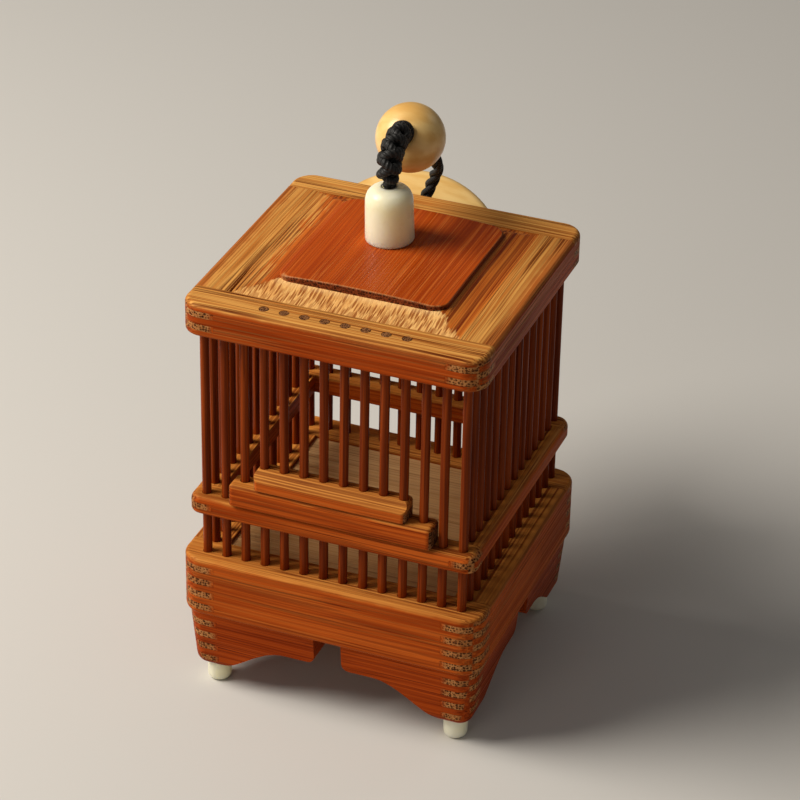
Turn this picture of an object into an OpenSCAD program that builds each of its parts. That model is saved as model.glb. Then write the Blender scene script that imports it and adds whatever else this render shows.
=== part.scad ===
// Small square cricket cage: bamboo frames joined with box fingers, bamboo bars,
// a front door that lifts, bone feet and a hanging cord with a bead and a toggle.
// Millimetres. X runs to the right, Y to the back, Z up from the feet.

/* [Bars] */
// Distance between the corner bar axes, left to right
bar_span_x = 48; // [44:0.5:60]
// Distance between the corner bar axes, front to back
bar_span_y = 47; // [44:0.5:60]
// Diameter of a bamboo bar
bar_d = 1.65; // [1.3:0.05:1.9]
// Bars in the lifting door
door_bar_count = 8; // [6:2:10]
// Fixed bars on each side of the door, with the corner bar
jamb_bar_count = 3; // [3:1:4]
// Depth of the sockets in the base boards and lid rails
socket_depth = 4.2; // [3:0.1:4.6]
// Depth of the sockets under the front mid rail
rail_socket_depth = 2.2; // [1.5:0.1:2.6]

/* [Feet] */
// Height of a bone foot below the apron
foot_h = 4.1; // [3.5:0.1:7]
// Diameter of a foot
foot_d = 4.4; // [3.6:0.1:5]
// Rounding at the bottom of a foot
foot_round = 1.1; // [0.5:0.1:1.4]
// Distance from the apron faces to a foot's axis
foot_inset = 4.7; // [4.3:0.1:5]
// Diameter of the peg on a foot
foot_peg_d = 1.8; // [1.4:0.1:2.4]
// Length of the peg on a foot
foot_peg_l = 4; // [2:0.1:6]

/* [Apron] */
// Height of the apron at the corners
apron_h = 12.1; // [11:0.1:16]
// Thickness of an apron wing
apron_t = 6.2; // [5.8:0.1:7]
// How far the apron stands back from the base boards
apron_setback = 0.7; // [0.4:0.1:1.4]
// How far the apron's faces lean in towards the bottom
apron_lean = 1; // [0.2:0.1:1.3]
// Open space between the two wings of a side
apron_gap = 5.2; // [3:0.1:7]
// Height of a wing at its inner end
wing_end_h = 5.4; // [4:0.1:7]
// Radius of the wing's inner lower corner
wing_tip_r = 1.4; // [0.5:0.1:2]
// Length of the wing's S curve
wing_curve_run = 15; // [10:0.5:15]
// Length of the level stretch under a corner
wing_foot_run = 4.2; // [3:0.1:5]
// Rounding of the apron's lower outer edge
apron_round = 2.2; // [1:0.1:2.4]
// Radius of the apron's upright corners
apron_corner_r = 3.6; // [3.3:0.1:4.4]

/* [Base] */
// Height of the base boards
base_h = 11.9; // [9:0.1:15]
// Thickness of a base board
base_t = 6.8; // [6.5:0.1:7.6]
// Distance from the bar axes to the outer face of the base at the front and back
base_lip = 3.5; // [3.2:0.1:4]
// The same distance at the left and right
base_side_lip = 4.3; // [3.6:0.1:4.5]
// Radius of the base's upright corners
base_corner_r = 4.2; // [2.5:0.1:5]
// Rounding of the base's upper edge
base_top_r = 0.7; // [0.3:0.1:1.2]
// Rounding of the base's lower edge
base_low_r = 1.1; // [0.5:0.1:1.2]
// Depth of the floor's top below the base's top
floor_sink = 0.6; // [0.4:0.1:2]
// Thickness of the floor board
floor_t = 3; // [2.4:0.1:4]
// Thickness of the floor's tongue
floor_tongue_t = 1.5; // [1:0.1:2]
// Depth of the floor's tongue in its groove
floor_tongue = 1.2; // [0.8:0.1:1.3]

/* [Mid rail] */
// Open height between the base and the mid rail
lower_tier_h = 8.7; // [6:0.1:14]
// Height of the mid rail
mid_h = 3.6; // [3:0.1:5]
// Width of the mid rail
mid_w = 4.6; // [4:0.1:5]
// Distance from the bar axes to the outer face of the mid rail at the front and back
mid_lip = 2.3; // [2:0.1:2.6]
// The same distance at the left and right
mid_side_lip = 2.8; // [2:0.1:3.1]
// Radius of the mid rail's upright corners
mid_corner_r = 2.3; // [1.5:0.1:3]
// Rounding of the mid rail's upper edge
mid_top_r = 1.3; // [0.5:0.1:1.5]
// Rounding of the mid rail's lower edge
mid_low_r = 0.8; // [0.3:0.1:1.2]

/* [Lid] */
// Open height between the mid rail and the lid
upper_tier_h = 33; // [28:0.5:45]
// Height of the lid rails
lid_h = 6.1; // [5.6:0.1:8]
// Width of the lid rails
lid_w = 6.5; // [6.2:0.1:7.5]
// Distance from the bar axes to the outer face of the lid at the front and back
lid_lip = 3.2; // [3:0.1:3.6]
// The same distance at the left and right
lid_side_lip = 3.4; // [3:0.1:3.8]
// Radius of the lid's upright corners
lid_corner_r = 3.8; // [1.5:0.1:4.5]
// Rounding of the lid's upper edge
lid_top_r = 1; // [0.3:0.1:1.2]
// Rounding of the lid's lower edge
lid_low_r = 0.5; // [0.3:0.1:1]
// Underside of the panel above the underside of the rails
panel_raise = 1.2; // [0.6:0.1:1.4]
// Thickness of the panel's tongue
panel_tongue_t = 2; // [1.4:0.1:2.4]
// Depth of the panel's tongue in its groove
panel_tongue = 1.4; // [1:0.1:1.6]
// Panel edge below the top of the rails
panel_edge_sink = 0.4; // [0.1:0.1:0.8]
// Foot of the raised field above the top of the rails
field_foot_rise = 0.8; // [0.4:0.1:1.2]
// Crown of the raised field above its foot
field_crown_h = 1.4; // [1:0.1:2.5]
// Radius of the field's crown across the panel
field_crown_r = 220; // [160:5:300]
// Width of the sloping margin at the left
margin_left = 6; // [3:0.1:7]
// Width of the sloping margin at the right
margin_right = 4.9; // [3:0.1:7]
// Width of the sloping margin at the front
margin_front = 5.6; // [3:0.1:8]
// Width of the sloping margin at the back
margin_back = 3; // [2:0.1:6]
// Corner radius of the raised field
field_corner_r = 3; // [0.5:0.1:4]

/* [Door] */
// Height of the guide batten
guide_h = 4.1; // [3.6:0.1:5]
// Height of the top batten
top_batten_h = 3.6; // [3:0.1:5]
// Distance from the bar axes to the front of the battens
batten_front = 2.7; // [2.3:0.1:3]
// Distance from the bar axes to the back of the battens
batten_back = 1.9; // [1.6:0.1:2.2]
// Depth of the door bars in the guide batten
door_socket_depth = 2.6; // [1.5:0.1:3]
// Wall beyond the outer door bars at the top batten's ends
batten_end_wall = 0.4; // [0.3:0.1:1]
// Play between the guide batten and the bars beside it
guide_end_play = 0.6; // [0.4:0.1:0.8]
// Rounding of the battens' upper edges
batten_top_r = 0.8; // [0.3:0.1:1.2]
// Rounding of the battens' lower edges
batten_low_r = 0.2; // [0.1:0.1:0.4]
// Radius of the battens' upright corners
batten_corner_r = 0.9; // [0.8:0.1:1.2]
// Depth of the bevel along the front of the top batten
bevel_depth = 1.7; // [0.8:0.1:1.8]
// Height of that bevel
bevel_h = 1.5; // [0.5:0.1:2]

/* [Hanging gear] */
// Diameter of the bone finial
finial_d = 8.7; // [7:0.1:10]
// Height of the finial
finial_h = 10.2; // [8:0.1:14]
// Rounding of the finial's shoulder
finial_shoulder_r = 2.8; // [1:0.1:2.8]
// Rounding of the finial's foot
finial_foot_r = 0.9; // [0.3:0.1:1.2]
// Diameter of the peg under the finial
finial_peg_d = 3.4; // [2.6:0.1:4]
// Length of the peg under the finial
finial_peg_l = 3.4; // [2:0.1:4]
// Finial axis, to the right of the middle
finial_x = -1.4; // [-3:0.1:3]
// Finial axis, behind the middle
finial_y = 4.5; // [0:0.1:6]
// Depth of the cord hole in the finial
cord_hole_depth = 4; // [2:0.1:6]
// Thickness of the plain cord
cord_d = 2.2; // [1.6:0.1:2.4]
// Thickness of the knotted stretch
knot_d = 4.6; // [3.6:0.1:4.8]
// Diameter of the bead
bead_d = 12.4; // [11:0.1:13]
// Flat round the bead's holes, measured from its middle
bead_flat = 5.7; // [4.8:0.1:5.7]
// Diameter of the toggle
toggle_d = 40; // [34:0.5:42]
// Thickness of the toggle at its middle
toggle_t = 14; // [10:0.5:16]
// Rounding of the toggle's rim
toggle_rim_r = 2.2; // [1.5:0.1:3]
// Depth of the flat round the toggle's holes
toggle_flat = 0.2; // [0.1:0.05:0.3]
// How far the toggle leans back from upright, degrees
toggle_lean = 47; // [30:1:75]
// Toggle middle, to the right of the cage's middle
toggle_x = -13.1; // [-16:0.1:0]
// Toggle middle below the top of the lid
toggle_drop = 24.8; // [20:0.1:40]
// Diameter of the knot that stops the cord
stop_knot_d = 5; // [4:0.1:6]

/* [Fits] */
// Radial room round a fixed bar in its hole
bar_fit = 0.04; // [0.02:0.01:0.06]
// Radial room round a sliding bar in its hole
slide_fit = 0.08; // [0.05:0.01:0.1]
// Glue line between box fingers
joint_gap = 0.04; // [0.02:0.01:0.08]
// Room round a tongue in its groove
tongue_fit = 0.1; // [0.05:0.01:0.2]
// Radial room round a peg in its hole
peg_fit = 0.04; // [0.02:0.01:0.06]
// Gap under the closed door
door_seat = 0.05; // [0.02:0.01:0.1]
// Radial room round the cord in its holes
cord_fit = 0.15; // [0.1:0.01:0.3]
// Gap between the toggle and the mid rail
toggle_room = 0.3; // [0.3:0.1:1]

/* [Hidden] */
$fn = 48;
cut = 0.5;

// Colours
bamboo = "#c9853f";
bamboo_dark = "#9c5526";
bamboo_gold = "#d8a25c";
bone = "#efe4c8";
boxwood = "#dcb76a";
cord_black = "#1c1a19";

// Heights of the tiers
base_z = foot_h + apron_h;
base_top = base_z + base_h;
mid_z = base_top + lower_tier_h;
mid_top = mid_z + mid_h;
lid_z = mid_top + upper_tier_h;
lid_top = lid_z + lid_h;
floor_top = base_top - floor_sink;
panel_z = lid_z + panel_raise;
field_foot = lid_top + field_foot_rise;
field_crown = field_foot + field_crown_h;
guide_z = mid_top + door_seat;
top_batten_z = guide_z + guide_h;

// Half sizes of the frames
bar_r = bar_d / 2;
half_x = bar_span_x / 2;
half_y = bar_span_y / 2;
lid_size = [half_x + lid_side_lip, half_y + lid_lip];
mid_size = [half_x + mid_side_lip, half_y + mid_lip];
base_size = [half_x + base_side_lip, half_y + base_lip];
apron_size = base_size - [apron_setback, apron_setback];
lid_inside = lid_size - [lid_w, lid_w];
base_inside = base_size - [base_t, base_t];

// Box fingers in the height of each frame
lid_fingers = 5;
mid_fingers = 3;
base_fingers = 9;
apron_fingers = 9;

// Bar places
bar_count = door_bar_count + 2 * jamb_bar_count;
last_bar = bar_count - 1;
pitch_x = bar_span_x / last_bar;
pitch_y = bar_span_y / last_bar;
all_bars = [0:last_bar];
wall_bars = [1:last_bar - 1];
left_jamb = [1:jamb_bar_count - 1];
right_jamb = [last_bar - jamb_bar_count + 1:last_bar - 1];
door_places = [jamb_bar_count:last_bar - jamb_bar_count];
beside_corner = [1, last_bar - 1];
function bar_x(i) = -half_x + i * pitch_x;
function bar_y(i) = -half_y + i * pitch_y;
bar_foot = base_top - socket_depth;
bar_head = lid_z + socket_depth;

// Door
batten_y = -half_y - (batten_front - batten_back) / 2;
batten_half = (batten_front + batten_back) / 2;
guide_half = half_x - pitch_x - bar_r - guide_end_play;
top_batten_half = bar_x(last_bar - jamb_bar_count) + bar_r + batten_end_wall;

// Hanging gear
finial_place = [finial_x, finial_y, field_crown];
finial_top = field_crown + finial_h;
cord_hole_d = cord_d + 2 * cord_fit;
bead_place = [-2.5, 17, lid_top + 15.8];
bead_axis = unit([-0.1, 0.95, -0.6]);
bead_turn = [0, acos(bead_axis[2]), atan2(bead_axis[1], bead_axis[0])];
toggle_r = toggle_d / 2;
toggle_rim_reach = (toggle_r - toggle_rim_r) * sin(toggle_lean) + toggle_rim_r;
toggle_y = mid_size[1] + toggle_room + toggle_rim_reach;
toggle_place = [toggle_x, toggle_y, lid_top - toggle_drop];
toggle_axis = [0, cos(toggle_lean), -sin(toggle_lean)];
toggle_face = toggle_t / 2 - toggle_flat;

// Cord route: up out of the finial, over into the bead, down behind the lid
// into the toggle's face, and through it to the stop knot
sides = 8;
shoulder = 0.1;
finial_end = [
    [finial_x, finial_y, finial_top - cord_hole_depth + shoulder],
    [finial_x, finial_y, finial_top + shoulder]
];
knots_over_lid = [
    [-1.5, 4.5, 13.2], [-1.6, 4.5, 15], [-1.6, 4.8, 16.8], [-1.6, 5.8, 18.3], [-1.6, 7.2, 19.3],
    [-1.7, 9.2, 19.8]
];
knotted = [for (p = knots_over_lid) p + [0, 0, lid_top]];
bead_mouth = bead_place - bead_axis * bead_flat;
bead_exit = bead_place + bead_axis * bead_flat;
at_bead = [bead_mouth - bead_axis * 0.9, bead_mouth - bead_axis * shoulder];
through_bead = [bead_mouth, bead_place, bead_exit];
hanging_over_lid = [
    [-2.2, 23.6, 11.2], [-1.4, 25.6, 8.6], [-1.2, 27.6, 5.6], [-2.4, 29.3, 2.4], [-3.8, 30.4, -0.9],
    [-5, 31, -4], [-6.5, 31.7, -7], [-8.3, 32.5, -10], [-10.3, 33.5, -12.9], [-12.2, 34.8, -16]
];
hanging = [for (p = hanging_over_lid) p + [0, 0, lid_top]];
toggle_mouth = toggle_place - toggle_axis * toggle_face;
toggle_back = toggle_place + toggle_axis * toggle_face;
into_toggle = [toggle_mouth - toggle_axis, toggle_mouth, toggle_place, toggle_back];
plain_route = concat(finial_end, knotted, at_bead, through_bead, hanging, into_toggle);
knot_from = len(finial_end);
knot_to = knot_from + len(knotted) + len(at_bead) - 1;
function route_r(i) = (i >= knot_from && i <= knot_to ? knot_d : cord_d) / 2;
function unit(v) = v / norm(v);
function heading(p, i) = unit(p[min(i + 1, len(p) - 1)] - p[max(i - 1, 0)]);
function ring(p, i, r) =
    let (t = heading(p, i), a = unit(cross(t, [1, 0, 0])), b = cross(t, a))
    [for (k = [0:sides - 1]) p[i] + r * (cos(360 * k / sides) * a + sin(360 * k / sides) * b)];

// Straight pieces along X or along Y from a section in the upright plane
module along_x(l) {
    rotate([90, 0, 90]) linear_extrude(l, center = true) children();
}

module along_y(l) {
    rotate([90, 0, 0]) linear_extrude(l, center = true) children();
}

module box(low, high) {
    translate(low) cube(high - low);
}

// Upright section with rounded upper and lower edges
module eased_section(half, h, top_r, low_r) {
    translate([-half, low_r]) square([2 * half, h - top_r - low_r]);
    translate([-half + top_r, low_r]) square([2 * (half - top_r), h - low_r]);
    translate([-half + low_r, 0]) square([2 * (half - low_r), h - top_r]);
    for (s = [-1, 1]) {
        translate([s * (half - top_r), h - top_r]) circle(top_r);
        translate([s * (half - low_r), low_r]) circle(low_r);
    }
}

// Upright section whose faces lean in towards a rounded lower edge
module leaning_section(half, h, lean, low_r) {
    middle = [half - lean - low_r, low_r];
    away = [half, h] - middle;
    turn = atan2(away[1], away[0]) - acos(low_r / norm(away));
    touch = middle + low_r * [cos(turn), sin(turn)];
    polygon([[half, h], touch, [middle[0], 0], [-middle[0], 0], [-touch[0], touch[1]], [-half, h]]);
    for (s = [-1, 1]) translate([s * middle[0], low_r]) circle(low_r);
}

module turned_section(r, h, top_r, low_r) {
    rotate_extrude() intersection() {
        eased_section(r, h, top_r, low_r);
        square([r, h]);
    }
}

// Block with round upright corners and eased edges, standing on z = 0
module eased_block(size, h, corner_r, top_r, low_r) {
    along_x(2 * (size[0] - corner_r)) eased_section(size[1], h, top_r, low_r);
    along_y(2 * (size[1] - corner_r)) eased_section(size[0], h, top_r, low_r);
    for (sx = [-1, 1], sy = [-1, 1])
        translate([sx * (size[0] - corner_r), sy * (size[1] - corner_r), 0])
            turned_section(corner_r, h, top_r, low_r);
}

// Block with round upright corners and faces that lean in towards z = 0
module leaning_block(size, h, corner_r, lean, low_r) {
    along_x(2 * (size[0] - corner_r)) leaning_section(size[1], h, lean, low_r);
    along_y(2 * (size[1] - corner_r)) leaning_section(size[0], h, lean, low_r);
    for (sx = [-1, 1], sy = [-1, 1])
        translate([sx * (size[0] - corner_r), sy * (size[1] - corner_r), 0])
            rotate_extrude() intersection() {
                leaning_section(corner_r, h, lean, low_r);
                square([corner_r, h]);
            }
}

// Level slices of a finger joint: even slices run through on front and back boards,
// odd slices on side boards
module fingers(size, h, count, first) {
    slice = h / count;
    for (k = [first:2:count - 1])
        box([-size[0], -size[1], k == 0 ? 0 : k * slice + joint_gap / 2],
            [size[0], size[1], k == count - 1 ? h : (k + 1) * slice - joint_gap / 2]);
}

// The space that the front board (s = -1) or the back board (s = 1) of a frame fills
module across_space(size, w, h, count, s) {
    intersection() {
        translate([0, s * (size[1] - w / 2), h / 2]) cube([2 * size[0], w, h], center = true);
        union() {
            fingers(size, h, count, 0);
            box([-size[0] + w + joint_gap, -size[1], 0], [size[0] - w - joint_gap, size[1], h]);
        }
    }
}

// The space that the left board (s = -1) or the right board (s = 1) of a frame fills
module side_space(size, w, h, count, s) {
    intersection() {
        translate([s * (size[0] - w / 2), 0, h / 2]) cube([w, 2 * size[1], h], center = true);
        union() {
            fingers(size, h, count, 1);
            box([-size[0], -size[1] + w + joint_gap, 0], [size[0], size[1] - w - joint_gap, h]);
        }
    }
}

module hole(x, y, low, high, r) {
    translate([x, y, low]) cylinder(h = high - low, r = r);
}

// Holes for the bars of the front row (s = -1) or the back row (s = 1)
module across_holes(places, s, low, high, fit) {
    for (i = places) hole(bar_x(i), s * half_y, low, high, bar_r + fit);
}

// Holes for the bars of the left row (s = -1) or the right row (s = 1)
module side_holes(places, s, low, high, fit) {
    for (i = places) hole(s * half_x, bar_y(i), low, high, bar_r + fit);
}

// Holes that the bars beside the corners make in the fingers of the next board
module near_side_holes(low, high) {
    for (s = [-1, 1]) side_holes(beside_corner, s, low, high, bar_fit);
}

module near_across_holes(low, high) {
    for (s = [-1, 1]) across_holes(beside_corner, s, low, high, bar_fit);
}

module foot(sx, sy) {
    x = sx * (apron_size[0] - foot_inset);
    y = sy * (apron_size[1] - foot_inset);
    color(bone) translate([x, y, 0]) {
        turned_section(foot_d / 2, foot_h, 0.2, foot_round);
        translate([0, 0, foot_h - cut]) cylinder(h = foot_peg_l + cut, d = foot_peg_d);
    }
}

module foot_holes() {
    for (sx = [-1, 1], sy = [-1, 1])
        hole(sx * (apron_size[0] - foot_inset), sy * (apron_size[1] - foot_inset),
             -cut, foot_peg_l + peg_fit, foot_peg_d / 2 + peg_fit);
}

// Outline of a wing on the right of the gap, measured from the middle of its side
module wing_outline(half) {
    tip = apron_gap / 2;
    shelf = apron_h - wing_end_h;
    curve_end = half - wing_foot_run;
    curve_start = curve_end - wing_curve_run;
    tip_steps = 4;
    curve_steps = 16;
    tip_arc = [for (k = [0:tip_steps])
        [tip + wing_tip_r * (1 - cos(90 * k / tip_steps)), shelf + wing_tip_r * (1 - sin(90 * k / tip_steps))]];
    curve = [for (k = [0:curve_steps])
        [curve_start + wing_curve_run * k / curve_steps, shelf * (1 + cos(180 * k / curve_steps)) / 2]];
    polygon(concat([[half, apron_h], [tip, apron_h]], tip_arc, curve, [[half, 0]]));
}

module apron_block() {
    leaning_block(apron_size, apron_h, apron_corner_r, apron_lean, apron_round);
}

// Wing of the front (sy = -1) or back (sy = 1) apron, left (sx = -1) or right (sx = 1)
module across_wing(sx, sy) {
    color(bamboo) translate([0, 0, foot_h]) difference() {
        intersection() {
            apron_block();
            across_space(apron_size, apron_t, apron_h, apron_fingers, sy);
            mirror([sx < 0 ? 1 : 0, 0, 0]) along_y(2 * apron_size[1]) wing_outline(apron_size[0]);
        }
        foot_holes();
    }
}

// Wing of the left (sx = -1) or right (sx = 1) apron, front (sy = -1) or back (sy = 1)
module side_wing(sx, sy) {
    color(bamboo_dark) translate([0, 0, foot_h]) difference() {
        intersection() {
            apron_block();
            side_space(apron_size, apron_t, apron_h, apron_fingers, sx);
            mirror([0, sy < 0 ? 1 : 0, 0]) along_x(2 * apron_size[0]) wing_outline(apron_size[1]);
        }
        foot_holes();
    }
}

module base_block() {
    eased_block(base_size, base_h, base_corner_r, base_top_r, base_low_r);
}

module floor_groove() {
    reach = base_inside + [floor_tongue, floor_tongue];
    middle = base_h - floor_sink - floor_t / 2;
    rise = floor_tongue_t / 2 + tongue_fit;
    box([-reach[0], -reach[1], middle - rise], [reach[0], reach[1], middle + rise]);
}

module base_across(s) {
    color(bamboo) translate([0, 0, base_z]) difference() {
        intersection() {
            base_block();
            across_space(base_size, base_t, base_h, base_fingers, s);
        }
        across_holes(all_bars, s, base_h - socket_depth, base_h + cut, bar_fit);
        near_side_holes(base_h - socket_depth, base_h + cut);
        floor_groove();
    }
}

module base_side(s) {
    color(bamboo_dark) translate([0, 0, base_z]) difference() {
        intersection() {
            base_block();
            side_space(base_size, base_t, base_h, base_fingers, s);
        }
        side_holes(all_bars, s, base_h - socket_depth, base_h + cut, bar_fit);
        near_across_holes(base_h - socket_depth, base_h + cut);
        floor_groove();
    }
}

module floor_board() {
    field = base_inside - [tongue_fit, tongue_fit];
    tongue = base_inside + [floor_tongue - tongue_fit, floor_tongue - tongue_fit];
    middle = floor_top - floor_t / 2;
    color(bamboo_gold) {
        box([-field[0], -field[1], floor_top - floor_t], [field[0], field[1], floor_top]);
        box([-tongue[0], -tongue[1], middle - floor_tongue_t / 2],
            [tongue[0], tongue[1], middle + floor_tongue_t / 2]);
    }
}

module bar(x, y, low, high) {
    color(bamboo_dark) translate([x, y, low]) cylinder(h = high - low, r = bar_r);
}

module corner_post(sx, sy) {
    bar(sx * half_x, sy * half_y, bar_foot, bar_head);
}

module front_bars(places) {
    for (i = places) bar(bar_x(i), -half_y, bar_foot, bar_head);
}

module front_bars_lower() {
    for (i = door_places) bar(bar_x(i), -half_y, bar_foot, mid_z + rail_socket_depth);
}

module side_bars(s) {
    for (i = wall_bars) bar(s * half_x, bar_y(i), bar_foot, bar_head);
}

module back_bars() {
    for (i = wall_bars) bar(bar_x(i), half_y, bar_foot, bar_head);
}

module mid_block() {
    eased_block(mid_size, mid_h, mid_corner_r, mid_top_r, mid_low_r);
}

module mid_across(s) {
    through = s < 0 ? [0, each left_jamb, each right_jamb, last_bar] : [each all_bars];
    color(bamboo) translate([0, 0, mid_z]) difference() {
        intersection() {
            mid_block();
            across_space(mid_size, mid_w, mid_h, mid_fingers, s);
        }
        across_holes(through, s, -cut, mid_h + cut, bar_fit);
        near_side_holes(-cut, mid_h + cut);
        if (s < 0) across_holes(door_places, s, -cut, rail_socket_depth, bar_fit);
    }
}

module mid_side(s) {
    color(bamboo_dark) translate([0, 0, mid_z]) difference() {
        intersection() {
            mid_block();
            side_space(mid_size, mid_w, mid_h, mid_fingers, s);
        }
        side_holes(all_bars, s, -cut, mid_h + cut, bar_fit);
        near_across_holes(-cut, mid_h + cut);
    }
}

module lid_block() {
    eased_block(lid_size, lid_h, lid_corner_r, lid_top_r, lid_low_r);
}

module panel_groove() {
    reach = lid_inside + [panel_tongue, panel_tongue];
    box([-reach[0], -reach[1], panel_raise - tongue_fit],
        [reach[0], reach[1], panel_raise + panel_tongue_t + tongue_fit]);
}

module lid_across(s) {
    blind = s < 0 ? [0, each left_jamb, each right_jamb, last_bar] : [each all_bars];
    color(bamboo_gold) translate([0, 0, lid_z]) difference() {
        intersection() {
            lid_block();
            across_space(lid_size, lid_w, lid_h, lid_fingers, s);
        }
        across_holes(blind, s, -cut, socket_depth, bar_fit);
        near_side_holes(-cut, socket_depth);
        if (s < 0) across_holes(door_places, s, -cut, lid_h + cut, slide_fit);
        panel_groove();
    }
}

module lid_side(s) {
    color(bamboo) translate([0, 0, lid_z]) difference() {
        intersection() {
            lid_block();
            side_space(lid_size, lid_w, lid_h, lid_fingers, s);
        }
        side_holes(all_bars, s, -cut, socket_depth, bar_fit);
        near_across_holes(-cut, socket_depth);
        panel_groove();
    }
}

// Sloping margins: sections across and along the panel
module margin_section(low, high, low_margin, high_margin) {
    edge = lid_top - panel_edge_sink;
    polygon([[low, panel_z], [high, panel_z], [high, edge], [high - high_margin, field_foot],
             [low + low_margin, field_foot], [low, edge]]);
}

module lid_panel() {
    edge = lid_inside - [tongue_fit, tongue_fit];
    tongue = lid_inside + [panel_tongue - tongue_fit, panel_tongue - tongue_fit];
    field_low = [-edge[0] + margin_left, -edge[1] + margin_front];
    field_high = [edge[0] - margin_right, edge[1] - margin_back];
    color("#b5652b") difference() {
        union() {
            box([-tongue[0], -tongue[1], panel_z], [tongue[0], tongue[1], panel_z + panel_tongue_t]);
            intersection() {
                along_y(2 * edge[1]) margin_section(-edge[0], edge[0], margin_left, margin_right);
                along_x(2 * edge[0]) margin_section(-edge[1], edge[1], margin_front, margin_back);
            }
            intersection() {
                translate([0, 0, panel_z + cut]) linear_extrude(field_crown)
                    field_outline(field_low, field_high);
                translate([0, 0, field_crown - field_crown_r]) rotate([90, 0, 0])
                    cylinder(h = 4 * edge[1], r = field_crown_r, center = true, $fn = 8 * $fn);
            }
        }
        hole(finial_x, finial_y, field_crown - finial_peg_l - peg_fit, field_crown + cut,
             finial_peg_d / 2 + peg_fit);
    }
}

module field_outline(low, high) {
    r = field_corner_r;
    translate([low[0], low[1] + r]) square(high - low - [0, 2 * r]);
    translate([low[0] + r, low[1]]) square(high - low - [2 * r, 0]);
    for (x = [low[0] + r, high[0] - r], y = [low[1] + r, high[1] - r]) translate([x, y]) circle(r);
}

module batten(half, h) {
    translate([0, batten_y, 0])
        eased_block([half, batten_half], h, batten_corner_r, batten_top_r, batten_low_r);
}

module door_guide_batten() {
    color(bamboo) translate([0, 0, guide_z]) difference() {
        batten(guide_half, guide_h);
        across_holes(door_places, -1, guide_h - door_socket_depth, guide_h + cut, bar_fit);
        across_holes([each left_jamb, each right_jamb], -1, -cut, guide_h + cut, slide_fit);
    }
}

// What the bevel takes off the top batten's front edge
module bevel_cut() {
    front = batten_y - batten_half;
    slope = bevel_h / bevel_depth;
    low = [front - cut, top_batten_h - bevel_h - cut * slope];
    high = [front + bevel_depth + cut, top_batten_h + cut * slope];
    along_x(2 * top_batten_half + cut) polygon([low, high, [low[0], high[1]]]);
}

module door_top_batten() {
    color(bamboo_gold) translate([0, 0, top_batten_z]) difference() {
        batten(top_batten_half, top_batten_h);
        bevel_cut();
        across_holes(door_places, -1, -cut, top_batten_h + cut, bar_fit);
    }
}

module door_bars() {
    for (i = door_places) bar(bar_x(i), -half_y, top_batten_z - door_socket_depth, lid_top);
}

module finial() {
    color(bone) translate(finial_place) difference() {
        union() {
            turned_section(finial_d / 2, finial_h, finial_shoulder_r, finial_foot_r);
            translate([0, 0, -finial_peg_l]) cylinder(h = finial_peg_l + cut, d = finial_peg_d);
        }
        hole(0, 0, finial_h - cord_hole_depth, finial_h + cut, cord_hole_d / 2);
    }
}

module cord() {
    count = len(plain_route);
    points = [for (i = [0:count - 1]) each ring(plain_route, i, route_r(i))];
    walls = [for (i = [0:count - 2], k = [0:sides - 1])
        let (a = i * sides + k, b = i * sides + (k + 1) % sides)
        each [[a, b, b + sides], [a, b + sides, a + sides]]];
    first_cap = [for (k = [1:sides - 2]) [0, k + 1, k]];
    end = (count - 1) * sides;
    last_cap = [for (k = [1:sides - 2]) [end, end + k, end + k + 1]];
    color(cord_black) polyhedron(concat(points), concat(walls, first_cap, last_cap));
}

module bead() {
    color(boxwood) translate(bead_place) rotate(bead_turn) difference() {
        intersection() {
            sphere(d = bead_d);
            cylinder(h = 2 * bead_flat, d = bead_d + cut, center = true);
        }
        cylinder(h = bead_d, d = cord_hole_d, center = true);
    }
}

// Half of the toggle's turned section: two wide arcs that run into a round rim
module toggle_section() {
    reach = toggle_r - toggle_rim_r;
    rise = toggle_t / 2;
    arc_r = (reach * reach + rise * rise - toggle_rim_r * toggle_rim_r) / (2 * (rise - toggle_rim_r));
    arc_end = reach * arc_r / (arc_r - toggle_rim_r);
    intersection() {
        translate([0, rise - arc_r]) circle(arc_r);
        translate([0, arc_r - rise]) circle(arc_r);
        translate([0, -toggle_face]) square([arc_end, 2 * toggle_face]);
    }
    translate([reach, 0]) circle(toggle_rim_r);
}

module toggle() {
    color(boxwood) translate(toggle_place) rotate([-90 - toggle_lean, 0, 0]) difference() {
        rotate_extrude() toggle_section();
        cylinder(h = toggle_t + cut, d = cord_hole_d, center = true);
    }
}

module stop_knot() {
    seat_depth = 0.9;
    color(cord_black) translate(toggle_back) rotate([-90 - toggle_lean, 0, 0]) intersection() {
        translate([0, 0, stop_knot_d / 2 - seat_depth]) sphere(d = stop_knot_d);
        translate([0, 0, stop_knot_d / 2]) cube(stop_knot_d, center = true);
    }
}

foot(-1, -1);  // foot_front_left
foot(1, -1);  // foot_front_right
foot(-1, 1);  // foot_back_left
foot(1, 1);  // foot_back_right
across_wing(-1, -1);  // apron_front_left
across_wing(1, -1);  // apron_front_right
across_wing(-1, 1);  // apron_back_left
across_wing(1, 1);  // apron_back_right
side_wing(-1, -1);  // apron_left_front
side_wing(-1, 1);  // apron_left_back
side_wing(1, -1);  // apron_right_front
side_wing(1, 1);  // apron_right_back
base_across(-1);  // base_front
base_across(1);  // base_back
base_side(-1);  // base_left
base_side(1);  // base_right
floor_board();
corner_post(-1, -1);  // corner_post_front_left
corner_post(1, -1);  // corner_post_front_right
corner_post(-1, 1);  // corner_post_back_left
corner_post(1, 1);  // corner_post_back_right
front_bars(left_jamb);  // front_bars_left
front_bars(right_jamb);  // front_bars_right
front_bars_lower();
side_bars(-1);  // left_bars
side_bars(1);  // right_bars
back_bars();
mid_across(-1);  // mid_rail_front
mid_across(1);  // mid_rail_back
mid_side(-1);  // mid_rail_left
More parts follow.
